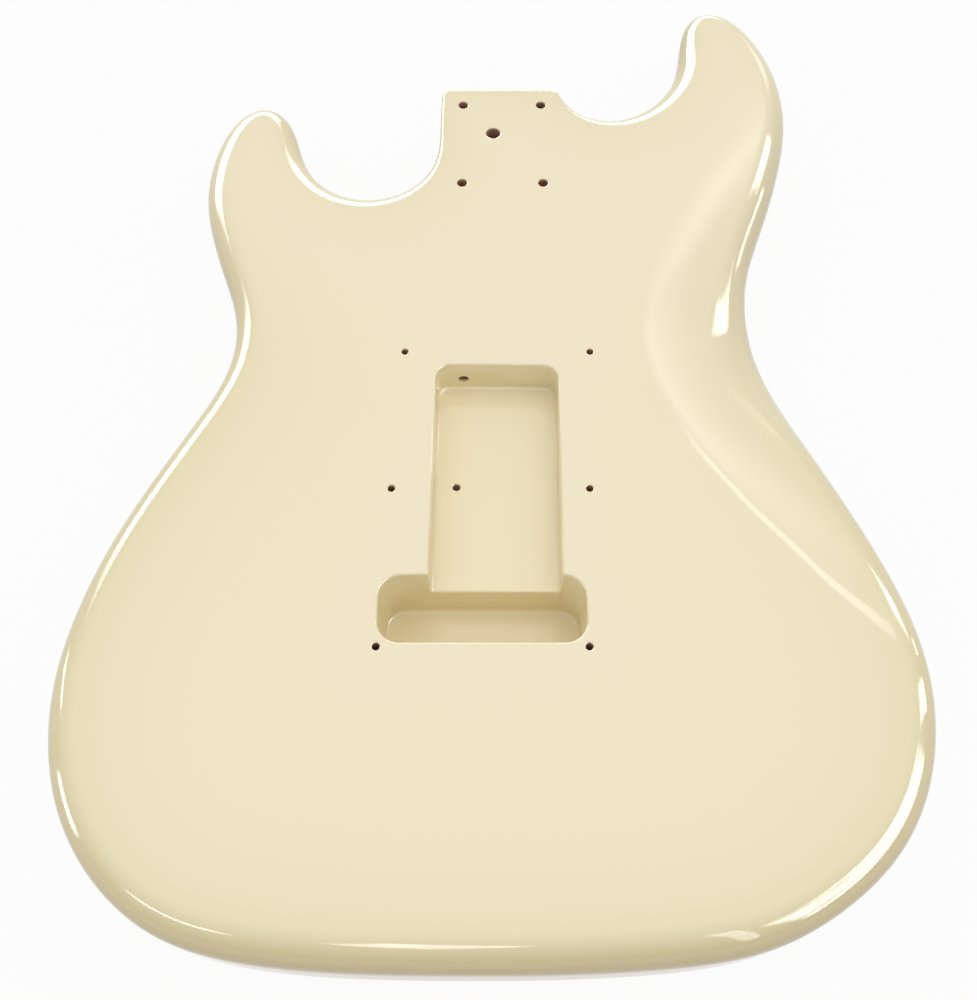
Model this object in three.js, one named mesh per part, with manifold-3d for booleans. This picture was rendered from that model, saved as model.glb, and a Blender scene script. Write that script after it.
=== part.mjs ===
// Solid electric guitar body, bare: a blank of edge-glued boards under a thick sprayed finish coat.
// Millimetres. X runs across the body from the treble side to the bass side, Y from the butt to the neck,
// Z from the front face up to the back face. Until the last lines x = 0 is the axis of the neck screws and
// y = 0 is the butt.
import * as THREE from 'three';
import { mergeVertices } from 'three/addons/utils/BufferGeometryUtils.js';
import Module from 'manifold-3d';

const wasm = await Module();
wasm.setup();

// Blank
const bodyLength = 459.3;
const bodyWidth = 327.2;
const bodyThickness = 44.45;
const edgeRadius = 12.7;
const centreBoardShare = 0.2323;
const innerBoardShare = 0.2537;
const glueLine = 0.1;
const waistShare = 0.56;

// Finish
const finishThickness = 0.9;
const finishGap = 0.3;

// Contours planed into the blank before it is sprayed
const bellyBlend = 6;
const bellyInsetShare = 0.188;
const bellyReach = 130;
const bellySlopeShare = 0.28;
const bellyFlareShares = [0.9, 0.62];
const bellySoftness = [60, 30];
const bellyTurnShare = 0.544;
const bellyDeepestShare = 0.61;
const waistEasing = 1.3;
const waistEasingShare = 0.529;
const waistEasingReach = 28;
const armBlend = 10;
const armSlopeShare = 0.2;
const armLineShares = [[0.183, 0.022], [0.483, 0.414]];

// Neck joint
const neckPocketLength = 76.2;
const neckPocketWidth = 54;
const neckPocketDepth = 15.9;
const neckPocketRadius = 6;
const neckScrewHole = 4.8;
const neckScrewSpacing = [38.1, 50.8];
const neckScrewInset = 36.75;
const tiltHole = 7;
const tiltHolePlace = [-4.35, 30.25];

// Spring cavity, the deeper block pocket at its foot, and the cover plate's screw holes
const springWidth = 51.5;
const springLength = 96.5;
const springDepth = 17.5;
const springRadius = 6.5;
const springCentre = -3.25;
const blockWidth = 79;
const blockLength = 26.8;
const blockDepth = 36;
const blockRadius = 8.7;
const blockCentre = -9;
const blockFootBelowHeel = 288.31;
const clawHole = 4.5;
const clawHoleLength = 28;
const clawHolePlace = [-17.4, 11.5];
const wireHole = 3.3;
const wireHoleDepth = 5.5;
const wireHolePlace = [-20, 46.9];
const coverHole = 3.1;
const coverHoleDepth = 16;
const coverSpacing = [79.2, 65.95];
const coverCentre = [-5.8, 37.4];
const coverSlantShare = 0.0454;

// Front routs: pickups, wiring and controls
const pickupLength = 90;
const pickupWidth = 29;
const pickupDepth = 19;
const pickupRadius = 7;
const pickupPitch = 49;
const bridgePickupSlant = THREE.MathUtils.degToRad(10);
const neckPickupInset = 30;
const channelWidth = 14;
const channelDepth = 16;
const channelOffset = 30;
const controlWidth = 40;
const controlDepth = 38;
const controlRadius = 12;
const controlFootShares = [-0.3013, 0.1687];
const controlHeadGap = 24.4;
const controlHeadRise = 8.7;
const jackWidth = 18;
const jackLength = 50;
const jackDepth = 32;
const jackCentreShares = [-0.3729, 0.1132];
const jackTurn = THREE.MathUtils.degToRad(38);
const jackWireHole = 8;
const jackWireDepth = 20;
const bridgeHole = 3;
const bridgeHoleDepth = 12;
const bridgeHoleCount = 6;
const bridgeHolePitch = 11.2;

// Faceting
const outlineSteps = 92;
const edgeSteps = 3;
const contourSteps = 4;
const cornerSteps = 3;
const holeSides = 12;
const overrun = 10;
const shortestColumnShare = 0.8;
const bendPoints = 2;
const tightBendShare = 0.68;

// Outline from the neck joint's bass corner, round the bass horn, butt and treble horn and back to the
// neck joint, as shares of the body's width and length. The third share is of the edge radius: the
// horns' tips are too slim for all of it, and the neck joint has a nearly sharp edge.
const heelEdgeShare = 0.16;
const outlineShares = [
  [0.0874, 0.8644, heelEdgeShare], [0.0990, 0.8500, 0.2], [0.1137, 0.8404, 0.35], [0.1333, 0.8350, 0.6],
  [0.1711, 0.8367, 0.9], [0.2072, 0.8487, 1], [0.2372, 0.8678, 1], [0.2598, 0.8914, 1],
  [0.2741, 0.9179, 1], [0.2830, 0.9458, 0.85], [0.2913, 0.9739, 0.68], [0.3013, 0.9898, 0.6],
  [0.3221, 0.9993, 0.6], [0.3466, 0.9976, 0.64], [0.3707, 0.9878, 0.75], [0.4028, 0.9599, 1],
  [0.4218, 0.9258, 1], [0.4315, 0.8818, 1], [0.4309, 0.8382, 1], [0.4163, 0.7864, 1],
  [0.3933, 0.7342, 1], [0.3649, 0.6806, 1], [0.3454, 0.6336, 1], [0.3411, 0.5972, 1],
  [0.3469, 0.5552, 1], [0.3744, 0.4890, 1], [0.4172, 0.4052, 1], [0.4444, 0.3514, 1],
  [0.4685, 0.2968, 1], [0.4832, 0.2438, 1], [0.4823, 0.1894, 1], [0.4584, 0.1285, 1],
  [0.4141, 0.0812, 1], [0.3521, 0.0451, 1], [0.2803, 0.0196, 1], [0.1834, 0.0059, 1],
  [0.0764, 0.0011, 1], [-0.0507, 0.0000, 1], [-0.1711, 0.0017, 1], [-0.2910, 0.0105, 1],
  [-0.3677, 0.0277, 1], [-0.4322, 0.0610, 1], [-0.4804, 0.1067, 1], [-0.5079, 0.1602, 1],
  [-0.5156, 0.2171, 1], [-0.5055, 0.2737, 1], [-0.4768, 0.3418, 1], [-0.4355, 0.4076, 1],
  [-0.3979, 0.4611, 1], [-0.3704, 0.5073, 1], [-0.3616, 0.5443, 1], [-0.3655, 0.5791, 1],
  [-0.3894, 0.6314, 1], [-0.4144, 0.6826, 1], [-0.4291, 0.7272, 1], [-0.4297, 0.7707, 1],
  [-0.4187, 0.8078, 0.95], [-0.3930, 0.8400, 0.86], [-0.3585, 0.8535, 0.82], [-0.3264, 0.8417, 0.86],
  [-0.3099, 0.8156, 0.95], [-0.2946, 0.7851, 1], [-0.2757, 0.7596, 1], [-0.2482, 0.7396, 1],
  [-0.2145, 0.7285, 1], [-0.1754, 0.7263, 0.9], [-0.1381, 0.7350, 0.65], [-0.1088, 0.7542, 0.4],
  [-0.0947, 0.7794, 0.25], [-0.0923, 0.8078, heelEdgeShare],
];
// Straight treble side of the neck joint, its corner and its end, then the same on the bass side.
const trebleCornerShares = [[-0.0908, 0.8600], [-0.0903, 0.8709], [-0.0749, 0.8709]];
const bassCornerShares = [[0.0688, 0.8709], [0.0822, 0.8709], [0.0874, 0.8644]];

function spread(share) {
  const [x, y, edge = heelEdgeShare] = share;
  return new THREE.Vector3(x * bodyWidth, y * bodyLength, edge * edgeRadius);
}

// The rim runs anticlockwise. Each point holds x, y and the radius of the rounded edge there.
function rimPoints() {
  const side = new THREE.CatmullRomCurve3(outlineShares.map(spread), false, 'catmullrom');
  const corner = (shares) => new THREE.QuadraticBezierCurve3(...shares.map(spread)).getPoints(cornerSteps);
  const heel = [...corner(trebleCornerShares), ...corner(bassCornerShares).slice(0, -1)];
  return [...side.getPoints(outlineSteps), ...heel].reverse();
}

// Radius of the outward bend at a rim point, read over a few points each side; straight or inward is endless.
function bendRadius(points, i) {
  const before = points.at(i - bendPoints);
  const here = points[i];
  const after = points[(i + bendPoints) % points.length];
  const turn = (here.x - before.x) * (after.y - here.y) - (here.y - before.y) * (after.x - here.x);
  const chords = [here.clone().sub(before), after.clone().sub(here), after.clone().sub(before)];
  const [a, b, c] = chords.map((chord) => Math.hypot(chord.x, chord.y));
  return turn > 0 ? (a * b * c) / (2 * turn) : Infinity;
}

// The rounded edge is limited where the outline bends too tightly to carry it, there or right beside.
function limited(points) {
  const bends = points.map((_, i) => bendRadius(points, i));
  return points.map((point, i) => {
    const room = tightBendShare * Math.min(bends.at(i - 1), bends[i], bends[(i + 1) % bends.length]);
    return new THREE.Vector3(point.x, point.y, Math.min(point.z, room));
  });
}

const rim = limited(rimPoints());
const heelEnd = trebleCornerShares.at(-1)[1] * bodyLength;
const inward = rim.map((point, i) => {
  const before = rim.at(i - 1);
  const after = rim[(i + 1) % rim.length];
  return new THREE.Vector2(before.y - after.y, after.x - before.x).normalize();
});

// A contour is flat up to a line, then slopes away past it, with a soft turn between the two.
// Belly cut: hollowed into the back along the bass waist, with a curved boundary.
const belly = {
  blend: bellyBlend,
  direction: new THREE.Vector2(1, 0),
  past(point) {
    const y = point.y - bellyTurnShare * bodyLength;
    const side = y > 0 ? 1 : 0;
    const soft = bellySoftness[side];
    return point.x - bellyInsetShare * bodyWidth - bellyFlareShares[side] * (Math.hypot(y, soft) - soft);
  },
  slope(point) {
    const away = (point.y - bellyDeepestShare * bodyLength) / bellyReach;
    return bellySlopeShare * Math.exp(-(away ** 2));
  },
};

// Along the bass waist the back's rounded edge is eased further in, to an ellipse. This is how many times.
function backReach(point) {
  if (point.x < 0) return 1;
  const away = (point.y - waistEasingShare * bodyLength) / waistEasingReach;
  return 1 + waistEasing * Math.exp(-(away ** 2));
}

// Forearm contour: a plain slope across the bass corner of the front's lower bout.
const [armStart, armEnd] = armLineShares.map(spread);
const armAcross = new THREE.Vector2(armEnd.y - armStart.y, armStart.x - armEnd.x).normalize();
const forearm = {
  blend: armBlend,
  direction: armAcross,
  past: (point) => (point.x - armStart.x) * armAcross.x + (point.y - armStart.y) * armAcross.y,
  slope: () => armSlopeShare,
};

function contourDepth(contour, point) {
  const past = contour.past(point);
  const blend = contour.blend;
  if (past <= -blend) return 0;
  const ramp = past < blend ? (past + blend) ** 2 / (4 * blend) : past;
  return contour.slope(point) * ramp;
}

// Closes one face: columns of points run down the contour's slope from its foot to the rim,
// and one flat polygon takes the rest. Triangles face up.
function faceTriangles(ring, firstIndex, extra, contour, height) {
  const count = ring.length;
  const onSlope = (i) => contour.past(ring[i % count]) > -contour.blend * shortestColumnShare;
  const start = ring.findIndex((_, i) => onSlope(i) && !onSlope(i + count - 1));
  const columns = [];
  for (let i = start; onSlope(i); i++) {
    const point = ring[i % count];
    const run = contour.past(point) + contour.blend;
    const column = [];
    for (let k = 0; k < contourSteps; k++) {
      const back = run * (1 - (k / contourSteps) ** 2);
      const foot = new THREE.Vector2(point.x, point.y).addScaledVector(contour.direction, -back);
      column.push(firstIndex.extra + extra.length);
      extra.push(new THREE.Vector3(foot.x, foot.y, height(foot)));
    }
    column.push(firstIndex.ring + (i % count));
    columns.push(column);
  }
  const before = firstIndex.ring + ((start + count - 1) % count);
  const after = firstIndex.ring + ((start + columns.length) % count);
  const triangles = [];
  for (let k = 0; k < contourSteps; k++) {
    triangles.push([before, columns[0][k + 1], columns[0][k]]);
    triangles.push([columns.at(-1)[k + 1], after, columns.at(-1)[k]]);
    for (let c = 0; c + 1 < columns.length; c++) {
      const [left, right] = [columns[c], columns[c + 1]];
      triangles.push([left[k + 1], right[k + 1], right[k]], [left[k + 1], right[k], left[k]]);
    }
  }
  const flat = columns.map((column) => column[0]);
  for (let i = 0; i < count - columns.length; i++) {
    flat.push(firstIndex.ring + ((start + columns.length + i) % count));
  }
  const corners = flat.map((index) => {
    const inside = index >= firstIndex.extra;
    const place = inside ? extra[index - firstIndex.extra] : ring[index - firstIndex.ring];
    return new THREE.Vector2(place.x, place.y);
  });
  for (const face of THREE.ShapeUtils.triangulateShape(corners, [])) {
    triangles.push(face.map((corner) => flat[corner]));
  }
  return triangles;
}

// The whole shaped blank as one closed solid, drawn in by inset on every side.
function envelope(inset) {
  const front = (point) => inset + contourDepth(forearm, point);
  const back = (point) => bodyThickness - inset - contourDepth(belly, point);
  const rings = [];
  for (let step = -edgeSteps; step <= edgeSteps; step++) {
    const angle = (Math.abs(step) / edgeSteps) * (Math.PI / 2);
    const levels = step === 0 ? [front, back] : [step < 0 ? front : back];
    for (const level of levels) {
      const sign = level === front ? 1 : -1;
      rings.push(rim.map((point, i) => {
        const radius = point.z - inset;
        const reach = level === back ? backReach(point) : 1;
        const draw = inset + reach * radius * (1 - Math.cos(angle));
        const spot = new THREE.Vector3(point.x, point.y, 0);
        spot.x += inward[i].x * draw;
        spot.y += inward[i].y * draw;
        spot.z = level(spot) + sign * radius * (1 - Math.sin(angle));
        return spot;
      }));
    }
  }
  const count = rim.length;
  const points = rings.flat();
  const triangles = [];
  for (let r = 0; r + 1 < rings.length; r++) {
    for (let i = 0; i < count; i++) {
      const [low, lowNext] = [r * count + i, r * count + ((i + 1) % count)];
      triangles.push([low, lowNext, lowNext + count], [low, lowNext + count, low + count]);
    }
  }
  const extra = [];
  const extraStart = points.length;
  const frontIndex = { ring: 0, extra: extraStart };
  const frontFace = faceTriangles(rings[0], frontIndex, extra, forearm, front);
  triangles.push(...frontFace.map(([a, b, c]) => [a, c, b]));
  const backIndex = { ring: (rings.length - 1) * count, extra: extraStart };
  triangles.push(...faceTriangles(rings.at(-1), backIndex, extra, belly, back));
  return solid(indexed([...points, ...extra], triangles));
}

function indexed(points, triangles) {
  const geometry = new THREE.BufferGeometry().setFromPoints(points);
  geometry.setIndex(triangles.flat());
  return geometry;
}

function solid(geometry) {
  const bare = geometry.clone();
  bare.deleteAttribute('normal');
  bare.deleteAttribute('uv');
  const merged = mergeVertices(bare);
  return new wasm.Manifold(new wasm.Mesh({
    numProp: 3,
    vertProperties: new Float32Array(merged.attributes.position.array),
    triVerts: new Uint32Array(merged.index.array),
  }));
}

function joined(parts) {
  return parts.reduce((whole, part) => whole.add(part));
}

// A round-cornered rout, turned about its own centre and cut in from one face. Growing it by the
// finish's thickness gives the rout in the bare wood.
function rout({ width, length, depth, radius, centre, turn = 0, back = false }, grow) {
  const [x, y] = [width / 2 + grow, length / 2 + grow];
  const round = Math.min(radius + grow, x, y);
  const shape = new THREE.Shape();
  shape.absarc(x - round, y - round, round, 0, Math.PI / 2);
  shape.absarc(round - x, y - round, round, Math.PI / 2, Math.PI);
  shape.absarc(round - x, round - y, round, Math.PI, 1.5 * Math.PI);
  shape.absarc(x - round, round - y, round, 1.5 * Math.PI, 2 * Math.PI);
  const height = depth + grow + overrun;
  const geometry = new THREE.ExtrudeGeometry(shape, {
    depth: height,
    bevelEnabled: false,
    curveSegments: cornerSteps,
  });
  geometry.rotateZ(turn);
  geometry.translate(centre[0], centre[1], back ? bodyThickness - depth - grow : depth + grow - height);
  return solid(geometry);
}

// A drilled hole from a start point along a direction. It starts outside the wood by the overrun.
function hole(diameter, start, direction, depth) {
  const height = depth + overrun;
  const geometry = new THREE.CylinderGeometry(diameter / 2, diameter / 2, height, holeSides);
  geometry.translate(0, depth - height / 2, 0);
  geometry.applyQuaternion(new THREE.Quaternion().setFromUnitVectors(new THREE.Vector3(0, 1, 0), direction));
  geometry.translate(start.x, start.y, start.z);
  return solid(geometry);
}

// Routs of the back
const blockFoot = heelEnd - blockFootBelowHeel;
const springFoot = blockFoot + blockLength;
const springEnd = springFoot + springLength;
const blockMiddle = blockFoot + blockLength / 2;
const springRout = {
  width: springWidth,
  length: springEnd - blockMiddle,
  depth: springDepth,
  radius: springRadius,
  centre: [springCentre, (springEnd + blockMiddle) / 2],
  back: true,
};
const blockRout = {
  width: blockWidth,
  length: blockLength,
  depth: blockDepth,
  radius: blockRadius,
  centre: [blockCentre, blockMiddle],
  back: true,
};

// Routs of the front: three pickups a pitch apart, the last one slanted, joined by a wire channel
const pickupStart = heelEnd - neckPocketLength - neckPickupInset - pickupWidth / 2;
const pickups = [0, 1, 2].map((index) => ({
  width: pickupLength,
  length: pickupWidth,
  depth: pickupDepth,
  radius: pickupRadius,
  centre: [0, pickupStart - index * pickupPitch],
  turn: index === 2 ? bridgePickupSlant : 0,
}));
const pickupChannel = {
  width: channelWidth,
  length: 2 * pickupPitch,
  depth: channelDepth,
  radius: channelWidth / 2,
  centre: [-channelOffset, pickupStart - pickupPitch],
};
const channelLevel = pickupStart - 1.5 * pickupPitch;
const controlFoot = spread(controlFootShares);
const controlHead = new THREE.Vector3(-pickupLength / 2 - controlHeadGap, channelLevel + controlHeadRise, 0);
const controlRun = new THREE.Vector2(controlHead.x - controlFoot.x, controlHead.y - controlFoot.y);
const controlCentre = [(controlHead.x + controlFoot.x) / 2, (controlHead.y + controlFoot.y) / 2];
const controlRout = {
  width: controlWidth,
  length: controlRun.length(),
  depth: controlDepth,
  radius: controlRadius,
  centre: controlCentre,
  turn: controlRun.angle() - Math.PI / 2,
};
const controlChannel = {
  width: -controlCentre[0] - channelOffset,
  length: channelWidth,
  depth: channelDepth,
  radius: channelWidth / 2,
  centre: [(controlCentre[0] - channelOffset) / 2, channelLevel],
};
const jackCentre = spread(jackCentreShares);
const jackRout = {
  width: jackWidth,
  length: jackLength,
  depth: jackDepth,
  radius: jackWidth / 2,
  centre: [jackCentre.x, jackCentre.y],
  turn: jackTurn,
};
const backRouts = [springRout, blockRout];
const wiringRouts = [...pickups, pickupChannel, controlRout, controlChannel];
const cavities = (routs, grow) => joined(routs.map((size) => rout(size, grow)));

// The neck pocket is open at the end of the neck joint and is cut after spraying, so it is bare wood
const neckPocket = rout({
  width: neckPocketWidth,
  length: neckPocketLength + overrun,
  depth: neckPocketDepth,
  radius: neckPocketRadius,
  centre: [0, heelEnd - neckPocketLength + (neckPocketLength + overrun) / 2],
}, 0);

// Drilled holes, all made after spraying
const down = new THREE.Vector3(0, 0, -1);
const up = new THREE.Vector3(0, 0, 1);
const towardsNeck = new THREE.Vector3(0, 1, 0);
const onBack = (x, y) => new THREE.Vector3(x, y, bodyThickness);

function neckHoles() {
  const holes = [hole(tiltHole, onBack(tiltHolePlace[0], heelEnd - tiltHolePlace[1]), down, bodyThickness)];
  for (const x of [-neckScrewSpacing[0] / 2, neckScrewSpacing[0] / 2]) {
    for (const y of [-neckScrewSpacing[1] / 2, neckScrewSpacing[1] / 2]) {
      holes.push(hole(neckScrewHole, onBack(x, heelEnd - neckScrewInset + y), down, bodyThickness));
    }
  }
  return holes;
}

function coverHoles() {
  const holes = [];
  for (const side of [-1, 1]) {
    for (const row of [-1, 0, 1]) {
      const x = (side * coverSpacing[0]) / 2 + row * coverSpacing[1] * coverSlantShare;
      const start = onBack(coverCentre[0] + x, springFoot + coverCentre[1] + row * coverSpacing[1]);
      holes.push(hole(coverHole, start, down, coverHoleDepth));
    }
  }
  return holes;
}

// The claw's screw hole runs from the spring cavity's end wall into the wood, so it starts at that wall
function clawHoleCut() {
  const start = new THREE.Vector3(clawHolePlace[0], springEnd, bodyThickness - clawHolePlace[1]);
  return hole(clawHole, start, towardsNeck, clawHoleLength);
}

function wireHoleCut() {
  const start = new THREE.Vector3(wireHolePlace[0], springFoot + wireHolePlace[1], bodyThickness - springDepth);
  return hole(wireHole, start, down, wireHoleDepth);
}

// The jack's wire hole runs from the jack rout into the foot of the control rout
function jackWireHoleCut() {
  const inFoot = controlRun.clone().setLength(controlWidth / 2);
  const start = new THREE.Vector3(jackCentre.x, jackCentre.y, jackWireDepth);
  const end = new THREE.Vector3(controlFoot.x + inFoot.x, controlFoot.y + inFoot.y, jackWireDepth);
  const direction = end.clone().sub(start).normalize();
  start.addScaledVector(direction, overrun);
  return hole(jackWireHole, start, direction, start.distanceTo(end));
}

function bridgeHoles() {
  return Array.from({ length: bridgeHoleCount }, (_, index) => {
    const x = (index - (bridgeHoleCount - 1) / 2) * bridgeHolePitch;
    return hole(bridgeHole, new THREE.Vector3(x, springFoot, 0), up, bridgeHoleDepth);
  });
}

const wireHoles = [clawHoleCut(), wireHoleCut(), jackWireHoleCut()];
const drilled = joined([neckPocket, ...neckHoles(), ...coverHoles(), ...wireHoles, ...bridgeHoles()]);

function slab(xLow, xHigh, yLow, yHigh, zLow, zHigh) {
  const box = new THREE.BoxGeometry(xHigh - xLow, yHigh - yLow, zHigh - zLow);
  box.translate((xLow + xHigh) / 2, (yLow + yHigh) / 2, (zLow + zHigh) / 2);
  return solid(box);
}

// The finish coat lies over the blank and inside the routs. Its sheet on the flat front face, what wraps
// the rest of the body, and the linings of the front's routs are separate pieces, a fine gap apart.
const far = bodyLength + bodyWidth;
const enclosed = envelope(finishThickness).subtract(cavities(backRouts, finishThickness));
const wrapped = envelope(0).subtract(cavities(backRouts, 0)).subtract(enclosed).subtract(drilled);
const sheetLevels = slab(-far, far, -far, far, -overrun, finishThickness);
const otherLevels = slab(-far, far, -far, far, finishThickness + finishGap, bodyThickness + overrun);
const frontCoat = wrapped.intersect(sheetLevels).subtract(cavities([...wiringRouts, jackRout], 0));
const backCoat = wrapped.intersect(otherLevels);
const lining = (routs) => (
  cavities(routs, finishThickness).subtract(cavities(routs, 0)).subtract(drilled).intersect(otherLevels)
);
const woodInset = finishThickness + finishGap;
const cutAway = cavities([...backRouts, ...wiringRouts, jackRout], woodInset);
const blank = envelope(woodInset).subtract(cutAway).subtract(drilled);

// The blank is cut along its glue lines, and the waist parts each outer board in two
const centreEdge = (centreBoardShare * bodyWidth) / 2;
const innerEdge = centreEdge + innerBoardShare * bodyWidth;
const waist = bodyLength * waistShare;
const boardBetween = (xLow, xHigh, yLow, yHigh) => (
  blank.intersect(slab(xLow, xHigh, yLow, yHigh, 0, bodyThickness))
);

const boards = {
  centre_board: boardBetween(-centreEdge, centreEdge, -far, far),
  treble_inner_board: boardBetween(-innerEdge, -centreEdge - glueLine, -far, far),
  bass_inner_board: boardBetween(centreEdge + glueLine, innerEdge, -far, far),
  treble_bout_board: boardBetween(-far, -innerEdge - glueLine, -far, waist),
  bass_bout_board: boardBetween(innerEdge + glueLine, far, -far, waist),
  treble_horn_board: boardBetween(-far, -innerEdge - glueLine, waist, far),
  bass_horn_board: boardBetween(innerEdge + glueLine, far, waist, far),
};

function toMesh(name, manifold, color, roughness) {
  const { vertProperties, triVerts } = manifold.getMesh();
  const geometry = new THREE.BufferGeometry();
  geometry.setAttribute('position', new THREE.BufferAttribute(new Float32Array(vertProperties), 3));
  geometry.setIndex(new THREE.BufferAttribute(new Uint32Array(triVerts), 1));
  const mesh = new THREE.Mesh(geometry, new THREE.MeshStandardMaterial({ color, roughness, metalness: 0 }));
  mesh.name = name;
  return mesh;
}

const group = new THREE.Group();
group.add(toMesh('front_coat', frontCoat, 0xf0e5c7, 0.18));
group.add(toMesh('back_coat', backCoat, 0xf0e5c7, 0.18));
group.add(toMesh('wiring_rout_coat', lining(wiringRouts), 0xf0e5c7, 0.18));
group.add(toMesh('jack_rout_coat', lining([jackRout]), 0xf0e5c7, 0.18));
for (const [name, board] of Object.entries(boards)) {
  group.add(toMesh(name, board, 0x7d5a44, 0.75));
}

// The origin is under the middle of the body
const span = new THREE.Box3().setFromPoints(rim);
group.position.set(-(span.min.x + span.max.x) / 2, -(span.min.y + span.max.y) / 2, 0);

export default group;
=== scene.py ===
import math

import bmesh
import bpy
import numpy as np
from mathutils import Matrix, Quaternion, Vector
from mathutils.geometry import delaunay_2d_cdt
from mathutils.kdtree import KDTree


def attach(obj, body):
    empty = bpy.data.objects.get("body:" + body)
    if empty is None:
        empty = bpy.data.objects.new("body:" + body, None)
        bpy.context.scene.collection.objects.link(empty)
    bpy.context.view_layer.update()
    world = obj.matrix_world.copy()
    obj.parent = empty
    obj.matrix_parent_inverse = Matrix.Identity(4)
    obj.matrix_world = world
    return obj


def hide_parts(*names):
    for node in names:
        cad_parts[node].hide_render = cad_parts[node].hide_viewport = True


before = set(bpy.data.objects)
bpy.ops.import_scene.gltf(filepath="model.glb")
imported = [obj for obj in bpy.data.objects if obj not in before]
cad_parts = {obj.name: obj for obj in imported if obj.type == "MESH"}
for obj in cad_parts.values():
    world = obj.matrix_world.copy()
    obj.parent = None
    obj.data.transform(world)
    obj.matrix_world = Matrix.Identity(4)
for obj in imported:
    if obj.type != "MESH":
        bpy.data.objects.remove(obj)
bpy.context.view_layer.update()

# Boards of the blank
# Strips of a reddish brown hardwood, planed, glued edge to edge and sawn to the outline. The boards stay
# as the frame has them: they show in the neck pocket, in the drilled holes and at the coat's cut edges.
mm = 0.001
board_names = [
    "centre_board", "treble_inner_board", "bass_inner_board", "treble_bout_board",
    "bass_bout_board", "treble_horn_board", "bass_horn_board",
]
heartwood = (0.40, 0.175, 0.105)
sapwood = (0.60, 0.345, 0.22)
pore_colour = (0.11, 0.04, 0.025)
band_scales = (55, 3.5)
fibre_scales = (900, 28)
pore_scales = (1500, 90)
streak_share = 0.55
grain_relief = 0.15 * mm
board_shift_shares = (0.37, 0.23, 0.11)


def link(tree, source, target):
    tree.links.new(source, target)


def new_node(tree, kind, **values):
    node = tree.nodes.new(kind)
    for name, value in values.items():
        setattr(node, name, value)
    return node


def fill_sockets(node, **values):
    for name, value in values.items():
        node.inputs[name.replace("_", " ")].default_value = value
    return node


def maths(tree, operation, *values):
    """One sum on numbers or sockets; gives its result's socket."""
    node = new_node(tree, "ShaderNodeMath", operation=operation)
    for socket, value in zip(node.inputs, values):
        if isinstance(value, (int, float)):
            socket.default_value = value
        else:
            link(tree, value, socket)
    return node.outputs[0]


def colour_ramp(tree, stops):
    ramp = new_node(tree, "ShaderNodeValToRGB")
    elements = ramp.color_ramp.elements
    while len(elements) < len(stops):
        elements.new(0.5)
    for element, (place, value) in zip(elements, stops):
        element.position = place
        element.color = (*value, 1)
    return ramp


def group_input(group, name, kind, value):
    socket = group.interface.new_socket(name, in_out="INPUT", socket_type="NodeSocket" + kind)
    socket.default_value = value


def mixed(tree, factor, first, second, blend="MIX"):
    """Blends two colours; each value is a number, a colour or a socket."""
    node = new_node(tree, "ShaderNodeMix", data_type="RGBA", blend_type=blend)
    for index, value in ((0, factor), (6, first), (7, second)):
        if isinstance(value, float):
            node.inputs[index].default_value = value
        elif isinstance(value, tuple):
            node.inputs[index].default_value = (*value, 1)
        else:
            link(tree, value, node.inputs[index])
    return node.outputs[2]


def wood_grain_group():
    """Long grain along Y: growth bands, fine fibres and open pores, as a colour and a height."""
    group = bpy.data.node_groups.new("wood_grain", "ShaderNodeTree")
    group_input(group, "Shift", "Vector", (0, 0, 0))
    group_input(group, "Early wood", "Color", (*sapwood, 1))
    group_input(group, "Late wood", "Color", (*heartwood, 1))
    group_input(group, "Pores", "Color", (*pore_colour, 1))
    group.interface.new_socket("Color", in_out="OUTPUT", socket_type="NodeSocketColor")
    group.interface.new_socket("Height", in_out="OUTPUT", socket_type="NodeSocketFloat")
    inputs = new_node(group, "NodeGroupInput")
    outputs = new_node(group, "NodeGroupOutput")
    place = new_node(group, "ShaderNodeTexCoord")
    moved = new_node(group, "ShaderNodeVectorMath", operation="ADD")
    link(group, place.outputs["Object"], moved.inputs[0])
    link(group, inputs.outputs["Shift"], moved.inputs[1])

    def stretched(scales, kind, **sockets):
        across, along = scales
        scale = new_node(group, "ShaderNodeMapping")
        scale.inputs["Scale"].default_value = (across, along, across)
        link(group, moved.outputs[0], scale.inputs["Vector"])
        texture = fill_sockets(new_node(group, kind), **sockets)
        link(group, scale.outputs["Vector"], texture.inputs["Vector"])
        return texture

    bands = stretched(band_scales, "ShaderNodeTexNoise", Scale=1.0, Detail=3.0, Distortion=0.6)
    fibres = stretched(fibre_scales, "ShaderNodeTexNoise", Scale=1.0, Detail=2.0)
    pores = stretched(pore_scales, "ShaderNodeTexVoronoi", Scale=1.0)
    band_steps = colour_ramp(group, [(0.32, (0, 0, 0)), (0.68, (1, 1, 1))])
    link(group, bands.outputs["Fac"], band_steps.inputs["Fac"])
    late, early = inputs.outputs["Late wood"], inputs.outputs["Early wood"]
    body = mixed(group, band_steps.outputs["Color"], late, early)
    streaked = mixed(group, streak_share, body, fibres.outputs["Fac"], "MULTIPLY")
    pore_mask = colour_ramp(group, [(0.05, (1, 1, 1)), (0.16, (0, 0, 0))])
    link(group, pores.outputs["Distance"], pore_mask.inputs["Fac"])
    pored = mixed(group, pore_mask.outputs["Color"], streaked, inputs.outputs["Pores"])
    link(group, pored, outputs.inputs["Color"])
    height = maths(group, "SUBTRACT", fibres.outputs["Fac"], pore_mask.outputs["Color"])
    link(group, height, outputs.inputs["Height"])
    return group


def new_material(name):
    material = bpy.data.materials.new(name)
    material.use_nodes = True
    tree = material.node_tree
    return material, tree, tree.nodes["Principled BSDF"]


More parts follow.
